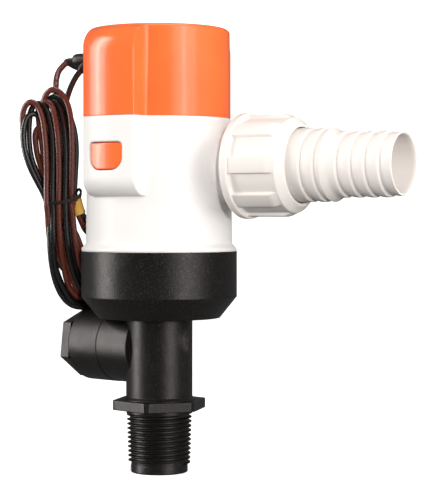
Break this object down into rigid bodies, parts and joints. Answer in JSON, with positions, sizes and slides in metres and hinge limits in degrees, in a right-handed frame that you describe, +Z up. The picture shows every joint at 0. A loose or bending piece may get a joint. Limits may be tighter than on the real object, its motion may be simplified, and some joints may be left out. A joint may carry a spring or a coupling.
{
  "type": "bilge pump",
  "caption": "Cartridge bilge and livewell pump: threaded bottom inlet, capped side port, union-nut hose barb outlet, lift-out motor.",
  "frame": {"origin": "centre of the inlet's open lower end, at the bottom of its pipe thread", "axes": "+Z up along the motor axis, +X along the outlet barb"},
  "size_m": [0.1603, 0.0704, 0.1766],
  "materials": {
    "black_plastic": "satin moulded plastic with a fine grain",
    "white_plastic": "smooth semi-gloss moulded plastic",
    "orange_plastic": "glossy moulded plastic",
    "inner_plastic": "plain moulded plastic",
    "black_rubber": "soft matt rubber",
    "spring_steel": "bright stainless steel",
    "zinc_steel": "zinc plated pressed steel",
    "bronze": "sintered bronze",
    "brass": "stamped brass",
    "copper": "copper",
    "magnet": "ground ferrite",
    "carbon": "pressed carbon",
    "brown_lead": "smooth vinyl insulation, brown",
    "black_lead": "smooth vinyl insulation, black",
    "tie_plastic": "nylon cable tie",
    "marker_sleeve": "yellow sleeve"
  },
  "bodies": {
    "pump_body": {"inlet_fitting": "black_plastic", "inlet_base": "black_plastic", "pump_housing": "white_plastic", "outlet_spigot": "white_plastic", "base_o_ring": "black_rubber", "button_spring_front": "spring_steel", "button_spring_rear": "spring_steel"},
    "front_button": {"release_button_front": "orange_plastic"},
    "rear_button": {"release_button_rear": "orange_plastic"},
    "cartridge": {"motor_cap": "orange_plastic", "cartridge_shroud": "inner_plastic", "cartridge_o_ring": "black_rubber", "shaft_seal": "black_rubber", "seal_washer": "spring_steel", "motor_can": "zinc_steel", "motor_end_bell": "inner_plastic", "lower_bush": "bronze", "upper_bush": "bronze", "magnet_left": "magnet", "magnet_right": "magnet", "brush_holders": "brass", "brushes": "carbon", "brush_springs": "spring_steel", "terminals": "brass", "lead_boot": "black_rubber", "lead_brown": "brown_lead", "lead_black": "black_lead", "lead_brown_end": "brown_lead", "lead_black_end": "black_lead", "lead_hank": "brown_lead", "hank_tie": "tie_plastic", "lead_marker": "marker_sleeve"},
    "rotor": {"motor_shaft": "spring_steel", "armature_core": "zinc_steel", "windings": "copper", "commutator": "copper", "thrust_washers": "inner_plastic", "impeller": "inner_plastic"},
    "outlet_hose_barb": {"outlet_barb": "white_plastic", "outlet_gasket": "black_rubber"},
    "outlet_nut": {"union_nut": "white_plastic"},
    "port_seal": {"port_gasket": "black_rubber"},
    "side_cap": {"port_cap": "black_plastic"}
  },
  "joints": [
    {"name": "cartridge_lift", "type": "slide", "parent": "pump_body", "child": "cartridge", "axis": [0, 0, 1], "range_m": [0, 0.08]},
    {"name": "impeller_spin", "type": "hinge", "parent": "cartridge", "child": "rotor", "pos_m": [0, 0, 0.1], "axis": [0, 0, 1], "continuous": true},
    {"name": "front_button_press", "type": "slide", "parent": "pump_body", "child": "front_button", "axis": [0.0698, 0.9976, 0], "range_m": [0, 0.0012], "stiffness_N_per_m": 800, "deforming": ["button_spring_front"]},
    {"name": "rear_button_press", "type": "slide", "parent": "pump_body", "child": "rear_button", "axis": [-0.0698, -0.9976, 0], "range_m": [0, 0.0012], "stiffness_N_per_m": 800, "deforming": ["button_spring_rear"]},
    {"name": "outlet_barb_back_off", "type": "slide", "parent": "pump_body", "child": "outlet_hose_barb", "axis": [1, 0, 0], "range_m": [0, 0.018]},
    {"name": "union_nut_turn", "type": "hinge", "parent": "outlet_hose_barb", "child": "outlet_nut", "pos_m": [0.05, 0, 0.1218], "axis": [1, 0, 0], "range_deg": [0, 2160]},
    {"name": "port_seal_back_off", "type": "slide", "parent": "pump_body", "child": "port_seal", "axis": [-0.9803, 0.1977, 0], "range_m": [0, 0.015]},
    {"name": "port_cap_turn", "type": "hinge", "parent": "port_seal", "child": "side_cap", "pos_m": [-0.02941, 0.00593, 0.05], "axis": [-0.9803, 0.1977, 0], "range_deg": [0, 1800]}
  ],
  "couplings": [
    {"joint": "outlet_barb_back_off", "follows": "union_nut_turn", "m_per_rad": 0.00047746},
    {"joint": "port_seal_back_off", "follows": "port_cap_turn", "m_per_rad": 0.00047746}
  ]
}
